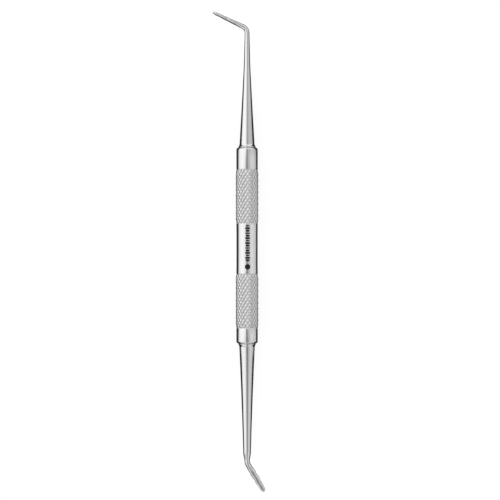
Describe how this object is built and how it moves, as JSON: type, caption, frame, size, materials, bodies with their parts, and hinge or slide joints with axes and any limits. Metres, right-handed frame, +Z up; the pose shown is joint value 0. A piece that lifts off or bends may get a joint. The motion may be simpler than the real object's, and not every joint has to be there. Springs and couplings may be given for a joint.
{
  "type": "dental elevator",
  "caption": "Double-ended stainless dental elevator with a hollow knurled handle, tapered shanks and slim bent blades with scalloped edges, for loosening roots.",
  "frame": {"origin": "on the table that the instrument lies on, under the middle of the whole instrument", "axes": "+X along the handle towards the steep end, +Y to the side that the steep end's blade points to, +Z up from the table"},
  "size_m": [0.1799, 0.0196, 0.0084],
  "materials": {
    "handle_steel": "polished plain bands with satin knurling",
    "plug_steel": "machined",
    "blade_steel": "polished"
  },
  "bodies": {
    "root": {"handle_tube": "handle_steel", "steep_end_plug": "plug_steel", "shallow_end_plug": "plug_steel", "steep_working_end": "blade_steel", "shallow_working_end": "blade_steel"}
  },
  "joints": []
}
